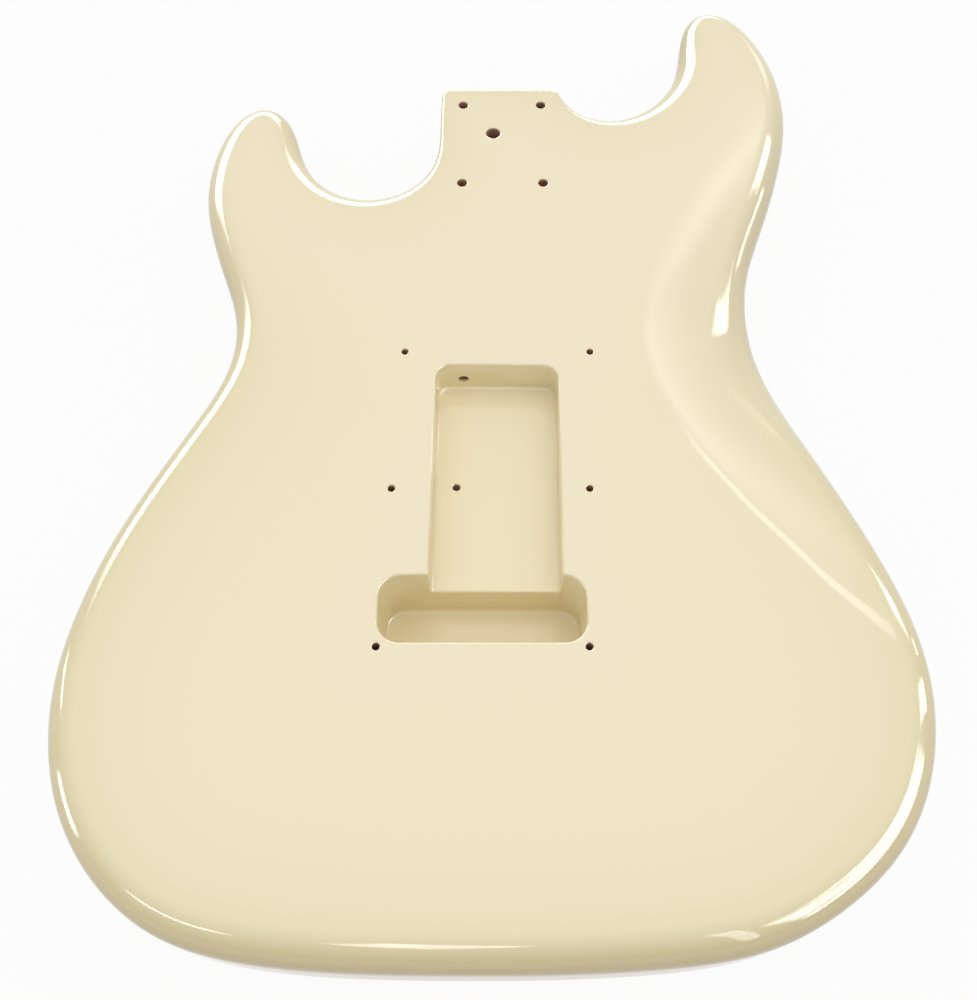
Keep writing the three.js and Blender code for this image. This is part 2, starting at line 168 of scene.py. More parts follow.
def board_material(name, grain, shift):
    material, tree, surface = new_material(name)
    wood = new_node(tree, "ShaderNodeGroup", node_tree=grain)
    wood.inputs["Shift"].default_value = shift
    link(tree, wood.outputs["Color"], surface.inputs["Base Color"])
    bump = fill_sockets(new_node(tree, "ShaderNodeBump"), Strength=0.5, Distance=grain_relief)
    link(tree, wood.outputs["Height"], bump.inputs["Height"])
    link(tree, bump.outputs["Normal"], surface.inputs["Normal"])
    surface.inputs["Roughness"].default_value = 0.68
    return material


wood_grain = wood_grain_group()
for index, board in enumerate(board_names):
    shift = [index * share for share in board_shift_shares]
    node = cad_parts[board]
    node.data.materials.clear()
    node.data.materials.append(board_material(board + "_wood", wood_grain, shift))


# Finish coat: outline and shaped edges
# The cream polyester follows the blank everywhere: flat faces, edges rounded over to a half inch radius,
# a belly cut hollowed into the back and a forearm slope on the front.
coat_nodes = ["front_coat", "back_coat", "wiring_rout_coat", "jack_rout_coat"]
body_length = 459.3 * mm
body_width = 327.2 * mm
body_thickness = 44.45 * mm
edge_radius = 12.7 * mm
coat_depth = 1.05 * mm
heel_edge_share = 0.16

# From the neck joint's bass corner round the bass horn, butt and treble horn: shares of the width and
# length from the neck's axis and the butt, and of the edge radius.
outline_shares = [
    (0.0874, 0.8644, heel_edge_share), (0.0990, 0.8500, 0.2), (0.1137, 0.8404, 0.35),
    (0.1333, 0.8350, 0.6), (0.1711, 0.8367, 0.9), (0.2072, 0.8487, 1), (0.2372, 0.8678, 1),
    (0.2598, 0.8914, 1), (0.2741, 0.9179, 1), (0.2830, 0.9458, 0.85), (0.2913, 0.9739, 0.68),
    (0.3013, 0.9898, 0.6), (0.3221, 0.9993, 0.6), (0.3466, 0.9976, 0.64), (0.3707, 0.9878, 0.75),
    (0.4028, 0.9599, 1), (0.4218, 0.9258, 1), (0.4315, 0.8818, 1), (0.4309, 0.8382, 1),
    (0.4163, 0.7864, 1), (0.3933, 0.7342, 1), (0.3649, 0.6806, 1), (0.3454, 0.6336, 1),
    (0.3411, 0.5972, 1), (0.3469, 0.5552, 1), (0.3744, 0.4890, 1), (0.4172, 0.4052, 1),
    (0.4444, 0.3514, 1), (0.4685, 0.2968, 1), (0.4832, 0.2438, 1), (0.4823, 0.1894, 1),
    (0.4584, 0.1285, 1), (0.4141, 0.0812, 1), (0.3521, 0.0451, 1), (0.2803, 0.0196, 1),
    (0.1834, 0.0059, 1), (0.0764, 0.0011, 1), (-0.0507, 0.0000, 1), (-0.1711, 0.0017, 1),
    (-0.2910, 0.0105, 1), (-0.3677, 0.0277, 1), (-0.4322, 0.0610, 1), (-0.4804, 0.1067, 1),
    (-0.5079, 0.1602, 1), (-0.5156, 0.2171, 1), (-0.5055, 0.2737, 1), (-0.4768, 0.3418, 1),
    (-0.4355, 0.4076, 1), (-0.3979, 0.4611, 1), (-0.3704, 0.5073, 1), (-0.3616, 0.5443, 1),
    (-0.3655, 0.5791, 1), (-0.3894, 0.6314, 1), (-0.4144, 0.6826, 1), (-0.4291, 0.7272, 1),
    (-0.4297, 0.7707, 1), (-0.4187, 0.8078, 0.95), (-0.3930, 0.8400, 0.86),
    (-0.3585, 0.8535, 0.82), (-0.3264, 0.8417, 0.86), (-0.3099, 0.8156, 0.95),
    (-0.2946, 0.7851, 1), (-0.2757, 0.7596, 1), (-0.2482, 0.7396, 1), (-0.2145, 0.7285, 1),
    (-0.1754, 0.7263, 0.9), (-0.1381, 0.7350, 0.65), (-0.1088, 0.7542, 0.4),
    (-0.0947, 0.7794, 0.25), (-0.0923, 0.8078, heel_edge_share),
    (-0.0918, 0.8270, heel_edge_share), (-0.0912, 0.8440, heel_edge_share),
    (-0.0908, 0.8600, heel_edge_share),
]
treble_corner_shares = [(-0.0908, 0.8600), (-0.0903, 0.8709), (-0.0749, 0.8709)]
bass_corner_shares = [(0.0688, 0.8709), (0.0822, 0.8709), (0.0874, 0.8644)]
rim_step = 1.7 * mm
corner_steps = 8
heel_steps = 32
edge_steps = 12
wall_steps = 4
edge_margin = 0.5 * mm
fairing_length = 7 * mm
radius_blur = 4
blur_reach = 9


def in_metres(shares):
    points = np.array([share[:2] for share in shares], float)
    return points * (body_width, body_length)


def faired(points, step, length):
    """The smoothest even curve that passes closely by the points: its change of curvature is held down."""
    chords = np.linalg.norm(np.diff(points, axis=0), axis=1)
    at = np.concatenate(([0], np.cumsum(chords)))
    count = int(at[-1] / step) + 1
    place = at / at[-1] * (count - 1)
    left = np.minimum(place.astype(int), count - 2)
    share = place - left
    rows = np.arange(len(points))
    pick = np.zeros((len(points), count))
    pick[rows, left] = 1 - share
    pick[rows, left + 1] = share
    third = np.diff(np.eye(count), n=3, axis=0)
    spacing = chords.mean() / step
    stiffness = (length / step) ** 6 / spacing
    return np.linalg.solve(pick.T @ pick + stiffness * third.T @ third, pick.T @ points), place


def bezier(points, steps):
    t = np.linspace(0, 1, steps + 1)[:, None]
    return (1 - t) ** 2 * points[0] + 2 * t * (1 - t) * points[1] + t ** 2 * points[2]


side, side_place = faired(in_metres(outline_shares), rim_step, fairing_length)
side_edge = np.interp(np.arange(len(side)), side_place, [share[2] for share in outline_shares])
treble_corner = in_metres(treble_corner_shares)
bass_corner = in_metres(bass_corner_shares)
treble_corner[0] = side[-1]
bass_corner[-1] = side[0]
heel_line = np.linspace(treble_corner[-1], bass_corner[0], heel_steps)
heel_end = np.concatenate((bezier(treble_corner, corner_steps)[1:], heel_line[1:-1],
                           bezier(bass_corner, corner_steps)[:-1]))
rim = np.concatenate((side, heel_end))[::-1]
rim_radius = edge_radius * np.concatenate((side_edge, np.full(len(heel_end), heel_edge_share)))[::-1]
soften = np.exp(-0.5 * (np.arange(-blur_reach, blur_reach + 1) / radius_blur) ** 2)
wrapped = np.concatenate((rim_radius[-blur_reach:], rim_radius, rim_radius[:blur_reach]))
rim_radius = np.convolve(wrapped, soften / soften.sum(), "valid")
rim_middle = (rim.min(axis=0) + rim.max(axis=0)) / 2
along = np.roll(rim, -1, axis=0) - np.roll(rim, 1, axis=0)
along /= np.linalg.norm(along, axis=1)[:, None]
inward = np.stack((-along[:, 1], along[:, 0]), axis=1)

# The belly cut's boundary runs along the body, nearest to the middle at the waist, and flares out both ways.
belly_inset = 61.5 * mm
belly_reach = 130 * mm
belly_turn = 0.544 * body_length
belly_deepest = 0.61 * body_length
belly_slope_share = 0.28
belly_entry_share = 0.55
belly_width = 57 * mm
horn_flare, butt_flare = 0.62, 0.9
horn_bend, butt_bend = 30 * mm, 60 * mm
belly_crease = 3 * mm
horn_softening, butt_softening = 6 * mm, 1.5 * mm
horn_soft_rows = (262 * mm, 307 * mm)
butt_soft_rows = (215 * mm, 165 * mm)
waist_row = 0.529 * body_length
waist_easing = 1.3
waist_easing_length = 28 * mm
arm_blend = 10 * mm
arm_slope_share = 0.2
arm_start, arm_end = in_metres([(0.183, 0.022), (0.483, 0.414)])
arm_direction = (arm_end - arm_start) / np.linalg.norm(arm_end - arm_start)
arm_normal = np.array((arm_direction[1], -arm_direction[0]))


def ramp(past, blend):
    """How far past a line, with a soft start; zero on the flat."""
    return np.where(past < -blend, 0, np.where(past > blend, past, (past + blend) ** 2 / (4 * blend)))


def belly_past(x, y):
    from_turn = y - belly_turn
    flare = np.where(from_turn > 0, horn_flare, butt_flare)
    bend = np.where(from_turn > 0, horn_bend, butt_bend)
    return x - belly_inset - flare * (np.hypot(from_turn, bend) - bend)


def smooth_step(start, end, value):
    share = np.clip((value - start) / (end - start), 0, 1)
    return share * share * (3 - 2 * share)


def belly_blend(y):
    """The cut's boundary is a crease at the waist, and softer towards both ends."""
    to_horn = smooth_step(*horn_soft_rows, y)
    to_butt = smooth_step(*butt_soft_rows, y)
    return belly_crease + horn_softening * to_horn + butt_softening * to_butt


def belly_depth(x, y):
    """The cut leaves the flat in a low crease and steepens all the way to the edge."""
    slope = belly_slope_share * np.exp(-((y - belly_deepest) / belly_reach) ** 2)
    past = ramp(belly_past(x, y), belly_blend(y))
    return slope * past * (belly_entry_share + (1 - belly_entry_share) * past / belly_width)


def back_reach(points):
    """How many times further in the back's rounded edge is eased along the bass waist."""
    away = (points[:, 1] - waist_row) / waist_easing_length
    return 1 + np.where(points[:, 0] > 0, waist_easing * np.exp(-away ** 2), 0)


def arm_past(x, y):
    return (x - arm_start[0]) * arm_normal[0] + (y - arm_start[1]) * arm_normal[1]


def arm_depth(x, y):
    return arm_slope_share * ramp(arm_past(x, y), arm_blend)


def back_height(x, y):
    return body_thickness - belly_depth(x, y)


def edge_rings():
    """Rings of points from just inside the front face's edge, over the side, to just inside the back's."""

    def ring(angle, back, extra=0.0):
        reach = back_reach(rim) if back else 1
        draw = reach * rim_radius * (1 - math.cos(angle)) + extra
        fall = rim_radius * (1 - math.sin(angle))
        x, y = (rim + inward * draw[:, None]).T
        z = back_height(x, y) - fall if back else arm_depth(x, y) + fall
        return np.column_stack((x, y, z))

    angles = [math.pi / 2 * step / edge_steps for step in range(edge_steps + 1)]
    front = [ring(math.pi / 2, False, edge_margin)] + [ring(angle, False) for angle in reversed(angles)]
    back = [ring(angle, True) for angle in angles] + [ring(math.pi / 2, True, edge_margin)]
    wall = [front[-1] + (back[0] - front[-1]) * step / wall_steps for step in range(1, wall_steps)]
    return np.array(front + wall + back)


rings = edge_rings()

# Finish coat: routs
# Each rout is cut with a rounded foot into a slab that stands for one face, the routs that meet are cut
# into the same slab, and the thick polyester softens every outer corner.
foot_radius = 2 * mm
lip_radius = 1.1 * mm
lip_steps = 4
foot_steps = 5
rout_corner_steps = 10
cutter_overrun = 5 * mm
slab_thickness = 44 * mm
join_distance = 0.01 * mm
lip_angle = math.radians(50)
heel_level = 0.8709 * body_length

# Back: the spring cavity, with its foot in the deeper block pocket.
spring_depth = 17.5 * mm
spring_corner = 6.5 * mm
spring_turn = math.radians(-0.6)
spring_foot = heel_level - 261.51 * mm
spring_end = spring_foot + 96.5 * mm
block_width, block_length, block_depth = 79 * mm, 26.8 * mm, 36 * mm
block_corner = 8.7 * mm
block_centre = Vector((-9 * mm, spring_foot - block_length / 2))
spring_left = -29.3 * mm
spring_right = block_centre.x + block_width / 2 - block_corner + 0.5 * mm

# Front: three pickup routs, the control rout, the jack rout, and the wiring channels between them.
pickup_width, pickup_length, pickup_depth = 90 * mm, 29 * mm, 19 * mm
pickup_corner = 7 * mm
pickup_start = heel_level - 120.7 * mm
pickup_pitch = 49 * mm
pickup_turns = (0.0, 0.0, math.radians(10))
channel_width, channel_depth = 14 * mm, 16 * mm
channel_column = -29 * mm
channel_row = pickup_start - 1.5 * pickup_pitch
control_width, control_depth, control_corner = 40 * mm, 38 * mm, 12 * mm
control_foot = Vector((-0.3013 * body_width, 0.1687 * body_length))
control_head = Vector((-69.4 * mm, channel_row + 8.7 * mm))
jack_width, jack_length, jack_depth = 18 * mm, 50 * mm, 32 * mm
jack_turn = math.radians(38)
jack_centre = Vector((-0.3729 * body_width, 0.1132 * body_length))
scene = bpy.context.scene


def new_object(name, points, faces):
    mesh = bpy.data.meshes.new(name)
    mesh.from_pydata([tuple(point) for point in points], [], [tuple(face) for face in faces])
    mesh.update()
    made = bpy.data.objects.new(name, mesh)
    scene.collection.objects.link(made)
    return made


def rounded_rectangle(width, length, radius, draw, steps):
    corners = [(1, 1, 0), (-1, 1, 1), (-1, -1, 2), (1, -1, 3)]
    points = []
    for right, ahead, quarter in corners:
        for step in range(steps + 1):
            angle = math.pi / 2 * (quarter + step / steps)
            points.append(((width / 2 - radius) * right + (radius - draw) * math.cos(angle),
                           (length / 2 - radius) * ahead + (radius - draw) * math.sin(angle)))
    return points


def rout_cutter(name, width, length, depth, radius, centre, turn=0.0, foot=foot_radius):
    """A cutter for one rout, seen with the face's level at z = 0 and the outside above."""
    levels = [(cutter_overrun, 0.0)]
    angles = [math.pi / 2 * step / foot_steps for step in range(foot_steps + 1)] if foot else [0.0]
    for angle in angles:
        levels.append((-depth + foot * (1 - math.sin(angle)), foot * (1 - math.cos(angle))))
    points = []
    for z, draw in levels:
        for x, y in rounded_rectangle(width, length, radius, draw, rout_corner_steps):
            points.append((centre[0] + x * math.cos(turn) - y * math.sin(turn),
                           centre[1] + x * math.sin(turn) + y * math.cos(turn), z))
    count = len(points) // len(levels)
    faces = [range(count), reversed(range(len(points) - count, len(points)))]
    for level in range(len(levels) - 1):
        for i in range(count):
            low, high = level * count + i, level * count + (i + 1) % count
            faces.append((low, low + count, high + count, high))
    return new_object(name, points, faces)


def evaluated_mesh(made):
    graph = bpy.context.evaluated_depsgraph_get()
    return bpy.data.meshes.new_from_object(made.evaluated_get(graph))


def cut_with(target, tools):
    """Cuts each tool out of the target, and deletes the tools."""
    for tool in tools:
        modifier = target.modifiers.new("cut", "BOOLEAN")
        modifier.operation = "DIFFERENCE"
        modifier.solver = "MANIFOLD"
        modifier.object = tool
        mesh = evaluated_mesh(target)
        target.modifiers.clear()
        target.data = mesh
        bpy.data.objects.remove(tool)
    return target


def slab(name, low, high):
    corners = [(x, y, z) for z in (low[2], high[2]) for y in (low[1], high[1]) for x in (low[0], high[0])]
    faces = [(0, 2, 3, 1), (4, 5, 7, 6), (0, 1, 5, 4), (2, 6, 7, 3), (0, 4, 6, 2), (1, 3, 7, 5)]
    return new_object(name, corners, faces)


def cut_face(name, low, high, cutters):
    """The walls and floors of one face's routs: points, faces and the mouths' loops of point numbers."""
    block = cut_with(slab(name, (*low, -slab_thickness), (*high, 0)), cutters)
    shape = bmesh.new()
    shape.from_mesh(block.data)
    bmesh.ops.remove_doubles(shape, verts=shape.verts, dist=join_distance)
    bmesh.ops.dissolve_limit(shape, angle_limit=0.002, verts=shape.verts, edges=shape.edges)

    def on_outside(point):
        to_sides = (point.x - low[0], high[0] - point.x, point.y - low[1], high[1] - point.y)
        return min(*to_sides, point.z + slab_thickness) < join_distance

    edges = [edge for edge in shape.edges
             if edge.is_manifold and edge.calc_face_angle_signed() > lip_angle
             and not any(on_outside(vert.co) for vert in edge.verts)]
    bmesh.ops.bevel(shape, geom=edges, offset=lip_radius, offset_type="OFFSET", segments=lip_steps,
                    profile=0.5, affect="EDGES", clamp_overlap=False)
    outside = [face for face in shape.faces
               if all(on_outside(vert.co) for vert in face.verts)
               or (face.normal.z > 0.99 and abs(face.calc_center_median().z) < join_distance)]
    bmesh.ops.delete(shape, geom=outside, context="FACES")
    bmesh.ops.triangulate(shape, faces=[face for face in shape.faces if len(face.verts) > 4])
    shape.verts.index_update()
    points = np.array([vert.co for vert in shape.verts])
    faces = [[vert.index for vert in face.verts] for face in shape.faces]
    following = {}
    for edge in shape.edges:
        if edge.is_boundary:
            loop = edge.link_loops[0]
            following[loop.link_loop_next.vert.index] = loop.vert.index
    loops = []
    while following:
        first, place = following.popitem()
        loop = [first]
        while place != first:
            loop.append(place)
            place = following.pop(place)
        loops.append(loop)
    shape.free()
    bpy.data.objects.remove(block)
    return points, faces, loops


block_cut = rout_cutter("block_cut", block_width, block_length, block_depth, block_corner, block_centre)
spring_length = spring_end - block_centre.y
spring_middle = ((spring_left + spring_right) / 2, spring_end - spring_length / 2)
spring_cut = rout_cutter("spring_cut", spring_right - spring_left, spring_length, spring_depth,
                         spring_corner, spring_middle, spring_turn)
back_slab_corners = [(-70 * mm, 90 * mm), (50 * mm, 260 * mm)]
back_routs = cut_face("back_slab", *back_slab_corners, [block_cut, spring_cut])

front_cuts = []
for index, turn in enumerate(pickup_turns):
    front_cuts.append(rout_cutter(f"pickup_cut_{index}", pickup_width, pickup_length, pickup_depth,
                                  pickup_corner, (0, pickup_start - index * pickup_pitch), turn))
front_cuts.append(rout_cutter("pickup_channel_cut", channel_width, 2 * pickup_pitch, channel_depth,
                              channel_width / 2, (channel_column, pickup_start - pickup_pitch)))
control_run = control_head - control_foot
control_middle = (control_head + control_foot) / 2
control_turn = math.atan2(control_run.y, control_run.x) - math.pi / 2
front_cuts.append(rout_cutter("control_cut", control_width, control_run.length, control_depth,
                              control_corner, control_middle, control_turn))
channel_middle = ((control_middle.x + channel_column) / 2, channel_row)
front_cuts.append(rout_cutter("control_channel_cut", channel_column - control_middle.x, channel_width,
                              channel_depth, channel_width / 2, channel_middle))
front_cuts.append(rout_cutter("jack_cut", jack_width, jack_length, jack_depth, jack_width / 2,
                              jack_centre, jack_turn))
front_slab_corners = [(-160 * mm, 10 * mm), (60 * mm, 310 * mm)]
front_routs = cut_face("front_slab", *front_slab_corners, front_cuts)

# Finish coat: the whole skin
# The rings, both faces and the routs share their points, so the coat is one closed skin. The faces have
# rows of points along the belly cut and the forearm slope, and stay flat elsewhere.
row_clearance = 1.5 * mm
mouth_clearance = 1 * mm
slope_clearance = 2 * mm
border_distances = np.array((4, 9, 15, 22, 31, 42)) * mm
border_slack = 0.97
belly_row_blend = 9 * mm
belly_levels = np.concatenate((np.arange(-9.8, 9.8, 1.4), np.arange(10.5, 60, 3.5)))
belly_stations = np.arange(40, 459, 3.2)
arm_levels = np.concatenate((np.arange(-12, 12, 2), np.arange(13, 70, 4)))
arm_stations = np.arange(-60, 300, 4)


def inside(points, loop):
    """Which points lie inside a closed loop."""
    x, y = points[:, :1], points[:, 1:2]
    x0, y0 = loop.T
    x1, y1 = np.roll(loop, -1, axis=0).T
    spans = (y0 > y) != (y1 > y)
    rise = np.where(y1 == y0, 1, y1 - y0)
    return (spans & (x < (x1 - x0) * (y - y0) / rise + x0)).sum(axis=1) % 2 == 1


def clear_of(points, loop, distance):
    gaps = np.linalg.norm(points[:, None] - loop[None], axis=2)
    return gaps.min(axis=1) > distance


def face_rows(levels, stations, place, loop):
    """Points at those millimetres past and along a slope's line, as far as they lie within the loop."""
    past, along_line = np.meshgrid(levels * mm, stations * mm)
    spots = place(past.ravel(), along_line.ravel())
    spots = spots[inside(spots, loop)]
    return spots[clear_of(spots, loop, row_clearance)]


def belly_place(past, y):
    return np.column_stack((past - belly_past(0.0 * y, y), y))


def arm_place(past, along_line):
    return arm_start + past[:, None] * arm_normal + along_line[:, None] * arm_direction


def face_triangles(edge_loop, mouths, rows):
    """Triangles between the edge's loop and the mouths, through the rows. Numbers run through all points."""
    spots = np.concatenate([edge_loop, *mouths, rows])
    lines = []
    start = 0
    for loop in (edge_loop, *mouths):
        count = len(loop)
        lines += [(start + i, start + (i + 1) % count) for i in range(count)]
        start += count
    made = delaunay_2d_cdt([Vector(spot) for spot in spots], lines, [], 0, 1e-9)
    numbers = [sources[0] for sources in made[3]]
    triangles = np.array([[numbers[i] for i in face] for face in made[2]])
    centres = spots[triangles].mean(axis=1)
    keep = inside(centres, edge_loop)
    for mouth in mouths:
        keep &= ~inside(centres, mouth)
    return triangles[keep]


def border_rows(loop, past, blend):
    """Rows that follow the rim on the flat, where painted shade deepens the coat's colour towards the edge.
    """
    ahead, behind = np.roll(loop, -1, axis=0), np.roll(loop, 1, axis=0)
    line = (ahead - behind) / np.linalg.norm(ahead - behind, axis=1)[:, None]
    across = np.column_stack((-line[:, 1], line[:, 0]))
    rows = []
    for distance in border_distances:
        spots = (loop + across * distance)[::2]
        spots = spots[inside(spots, loop)]
        spots = spots[clear_of(spots, loop, border_slack * distance)]
        rows.append(spots[past(*spots.T) < -blend - slope_clearance])
    return np.concatenate(rows)


ring_count, rim_count = rings.shape[:2]
skin_points = [rings.reshape(-1, 3)]
skin_faces = []
for level in range(ring_count - 1):
    for i in range(rim_count):
        low, high = level * rim_count + i, level * rim_count + (i + 1) % rim_count
        skin_faces.append((low, high, high + rim_count, low + rim_count))
total = ring_count * rim_count
back_rows = face_rows(belly_levels, belly_stations, belly_place, rings[-1][:, :2])
front_rows = face_rows(arm_levels, arm_stations, arm_place, rings[0][:, :2])
faces_of_body = [
    (back_routs, ring_count - 1, back_height, back_rows, belly_past, belly_row_blend),
    (front_routs, 0, arm_depth, front_rows, arm_past, arm_blend),
]
for (points, faces, loops), level, height, rows, past, blend in faces_of_body:
    is_back = level > 0
    edge_loop = rings[level][:, :2]
    points = points.copy()
    points[:, 2] = points[:, 2] + body_thickness if is_back else -points[:, 2]
    mouths = [points[loop][:, :2] for loop in loops]
    border = border_rows(edge_loop, past, blend)
    for mouth in mouths:
        border = border[~inside(border, mouth)]
        border = border[clear_of(border, mouth, mouth_clearance)]
    rows = np.concatenate((rows, border))
    triangles = face_triangles(edge_loop, mouths, rows)
    numbers = [level * rim_count + i for i in range(rim_count)]
    for loop in loops:
        numbers += [total + i for i in loop]
    numbers += [total + len(points) + i for i in range(len(rows))]
    around = np.array(numbers)[triangles]
    first = np.concatenate([edge_loop, *mouths, rows])[triangles]
    area = np.cross(first[:, 1] - first[:, 0], first[:, 2] - first[:, 0])
    wrong = (area > 0) != is_back
    around[wrong] = around[wrong][:, ::-1]
    skin_faces += [tuple(face) for face in around]
    rout_faces = [[total + i for i in face] for face in faces]
    skin_faces += rout_faces if is_back else [face[::-1] for face in rout_faces]
    skin_points += [points, np.column_stack((rows, height(rows[:, 0], rows[:, 1])))]
    total += len(points) + len(rows)
skin_points = np.concatenate(skin_points)
skin_points[:, :2] -= rim_middle
coat = new_object("finish_coat", skin_points, skin_faces)

# Finish coat: material
# Thick gloss polyester in cream with faint orange peel. Painted shade makes the cream deeper on the sides,
# in the routs and towards the edges. The cut at the neck pocket is a paler, dull raw edge, and drilled
# holes have a pale lip with reddish wood below.
cream = (0.838, 0.745, 0.532)
# Painted shade: deeper creams for faces turned sideways, for the flat near the rim and for the rounded
# sides.
side_shade_cream = (0.86, 0.765, 0.51)
edge_shade_cream = (0.746, 0.66, 0.404)
rim_shade_cream = (0.735, 0.60, 0.325)
raw_edge = (0.96, 0.93, 0.86)
drilled_wood = (0.44, 0.19, 0.13)
cloud_share = 0.12
turned_gain = 1.6
peel_height = 0.006 * mm
sanding_share = 22
lip_stops = (0.28, 0.42)


def coat_material():
    material, tree, surface = new_material("cream_polyester")
    place = new_node(tree, "ShaderNodeTexCoord")
    facing = new_node(tree, "ShaderNodeSeparateXYZ")
    link(tree, place.outputs["Normal"], facing.inputs[0])
    sideways = maths(tree, "SUBTRACT", 1, maths(tree, "ABSOLUTE", facing.outputs["Z"]))
    clouds = fill_sockets(new_node(tree, "ShaderNodeTexNoise"), Scale=7.0, Detail=2.0)
    link(tree, place.outputs["Object"], clouds.inputs["Vector"])
    # Painted shade: faces that turn sideways get a deeper cream; faint random clouds vary the tone as well.
    colours = colour_ramp(tree, [(0.06, cream), (0.75, side_shade_cream)])
    clouds_and_side_shade = maths(tree, "MULTIPLY_ADD", clouds.outputs["Fac"], cloud_share, sideways)
    link(tree, clouds_and_side_shade, colours.inputs["Fac"])
    # Painted shade: the edge attribute deepens the cream towards the rim, and most on the rounded sides
    # there.
    edge = new_node(tree, "ShaderNodeAttribute", attribute_name="edge").outputs["Fac"]
    edge_shaded = mixed(tree, edge, colours.outputs["Color"], edge_shade_cream)
    turned = maths(tree, "MINIMUM", maths(tree, "MULTIPLY", sideways, turned_gain), 1)
    rim_shaded = mixed(tree, maths(tree, "MULTIPLY", edge, turned), edge_shaded, rim_shade_cream)
    link(tree, rim_shaded, surface.inputs["Base Color"])
    surface.inputs["Roughness"].default_value = 0.05
    surface.inputs["IOR"].default_value = 1.52
    peel = fill_sockets(new_node(tree, "ShaderNodeTexNoise"), Scale=260.0, Detail=1.0)
    link(tree, place.outputs["Object"], peel.inputs["Vector"])
    hand_sanding = fill_sockets(new_node(tree, "ShaderNodeTexNoise"), Scale=38.0, Detail=1.5)
    link(tree, place.outputs["Object"], hand_sanding.inputs["Vector"])
    height = maths(tree, "MULTIPLY_ADD", hand_sanding.outputs["Fac"], sanding_share, peel.outputs["Fac"])
    bump = fill_sockets(new_node(tree, "ShaderNodeBump"), Strength=1.0, Distance=peel_height)
    link(tree, height, bump.inputs["Height"])
    link(tree, bump.outputs["Normal"], surface.inputs["Normal"])
    return material


def raw_edge_material():
    material, tree, surface = new_material("cut_polyester")
    place = new_node(tree, "ShaderNodeTexCoord")
    grit = fill_sockets(new_node(tree, "ShaderNodeTexNoise"), Scale=1800.0, Detail=2.0)
    link(tree, place.outputs["Object"], grit.inputs["Vector"])
    colours = colour_ramp(tree, [(0.3, raw_edge), (0.8, cream)])
    link(tree, grit.outputs["Fac"], colours.inputs["Fac"])
    link(tree, colours.outputs["Color"], surface.inputs["Base Color"])
    surface.inputs["Roughness"].default_value = 0.6
    return material


def drilled_wall_material():
    """The wall of a drilled hole: a pale chipped lip, and just below it the reddish wood."""
    material, tree, surface = new_material("drilled_wall")
    place = new_node(tree, "ShaderNodeTexCoord")
    spot = new_node(tree, "ShaderNodeSeparateXYZ")
    link(tree, place.outputs["Object"], spot.inputs[0])
    height = spot.outputs["Z"]
    depth = height
    for face in (body_thickness, body_thickness - spring_depth):
        below = maths(tree, "ABSOLUTE", maths(tree, "SUBTRACT", height, face))
        depth = maths(tree, "MINIMUM", depth, below)
    colours = colour_ramp(tree, list(zip(lip_stops, (raw_edge, drilled_wood))))
    link(tree, maths(tree, "DIVIDE", depth, mm), colours.inputs["Fac"])
    link(tree, colours.outputs["Color"], surface.inputs["Base Color"])
    surface.inputs["Roughness"].default_value = 0.65
    return material


cream_polyester = coat_material()
cut_polyester = raw_edge_material()
drilled_wall = drilled_wall_material()

# Finish coat: thickness, neck pocket and drilled holes
# The skin gets its depth, then the neck pocket is cut through it and the holes are drilled. Drilling chips
# the coat's lip: each hole is cut with a plug whose end is broken up by a Geometry Nodes tree.
crease_angle = math.radians(42)
butt_rows = (100 * mm, -30 * mm)
# How strong the painted shade is at the rim, at the butt and in the routs, and how far in it fades.
rim_shade_share, butt_shade_share, rout_shade_share = 0.65, 0.35, 0.3
rim_fade, butt_fade = 10 * mm, 16 * mm
level_share = 0.9999995
normal_grid = 500
coat.data.materials.append(cream_polyester)
shell = coat.modifiers.new("depth", "SOLIDIFY")
shell.thickness = coat_depth
shell.offset = -1
coat.data = evaluated_mesh(coat)
coat.modifiers.clear()


# The holes' numbers are millimetres from the neck's axis, the butt and the front face. Each kind of hole
# has a radius and a size of its chips.
heel_row, foot_row, end_row, top = heel_level / mm, spring_foot / mm, spring_end / mm, body_thickness / mm
up, down, to_the_butt = (0, 0, 1), (0, 0, -1), (0, -1, 0)
neck_screw_row = heel_row - 36.75
neck_screw_sides, neck_screw_rows = (-19.05, 19.05), (-25.4, 25.4)
cover_middle = (-5.8, foot_row + 37.4)
cover_sides, cover_rows, cover_slant = (-39.6, 39.6), (-65.95, 0, 65.95), 0.0454
bridge_screw_pitch = 11.2
neck_screw, neck_hole, cover_screw, claw_screw = (2.4, 1.0), (3.5, 1.5), (1.55, 0.9), (1.65, 1.0)
wire_hole, bridge_screw = (2.25, 0.3), (1.5, 0.25)
chip_gain = 1.6
chip_below, chip_above = 0.25 * mm, 0.1 * mm
pocket_width, pocket_length, pocket_depth = 54 * mm, 87 * mm, 15.9 * mm
pocket_corner = 6 * mm
pocket_centre = (0, heel_level - 32.7 * mm)
holes = []


def drill(x, y, z, axis, radius, chips):
    """Notes one hole: its mouth, the way out of it, its radius and the size of its chips."""
    mouth = Vector((x * mm - rim_middle[0], y * mm - rim_middle[1], z * mm))
    holes.append((mouth, axis, radius, chips))


for x in neck_screw_sides:
    for y in neck_screw_rows:
        drill(x, neck_screw_row + y, top, up, *neck_screw)
drill(-4.35, heel_row - 30.25, top, up, *neck_hole)
for x in cover_sides:
    for y in cover_rows:
        drill(x + y * cover_slant + cover_middle[0], cover_middle[1] + y, top, up, *cover_screw)
drill(-20, foot_row + 46.9, top - spring_depth / mm, up, *claw_screw)
drill(-17.4, end_row, top - 11.5, to_the_butt, *wire_hole)
for index in range(6):
    drill((index - 2.5) * bridge_screw_pitch, foot_row, 0, down, *bridge_screw)


